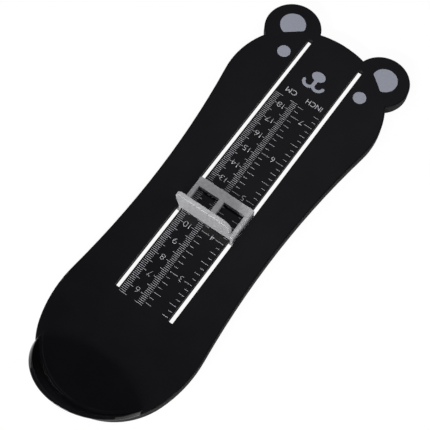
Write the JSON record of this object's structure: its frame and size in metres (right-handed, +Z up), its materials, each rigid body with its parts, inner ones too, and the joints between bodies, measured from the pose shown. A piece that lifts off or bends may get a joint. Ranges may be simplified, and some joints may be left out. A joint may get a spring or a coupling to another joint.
{
  "type": "foot measuring device",
  "caption": "Flat foot gauge with a leaning heel wall and a sliding toe fence that reads foot length on printed centimetre and inch scales.",
  "frame": {"origin": "middle of the footprint, on the table that the skirt stands on", "axes": "+X across the plate to the inch scale's side, +Y from heel to toes, +Z up"},
  "size_m": [0.0844, 0.2434, 0.0282],
  "materials": {
    "black_gloss": "polished moulded plastic with printed grey scales",
    "light_grey": "satin moulded plastic",
    "grey_ink": "pad-printed ink"
  },
  "bodies": {
    "base": {"base_plate": "black_gloss"},
    "slider": {"slider": "light_grey", "slider_retainer": "light_grey"}
  },
  "joints": [
    {"name": "toe_slide", "type": "slide", "parent": "base", "child": "slider", "axis": [0, 1, 0], "range_m": [-0.0492, 0.0965]}
  ]
}
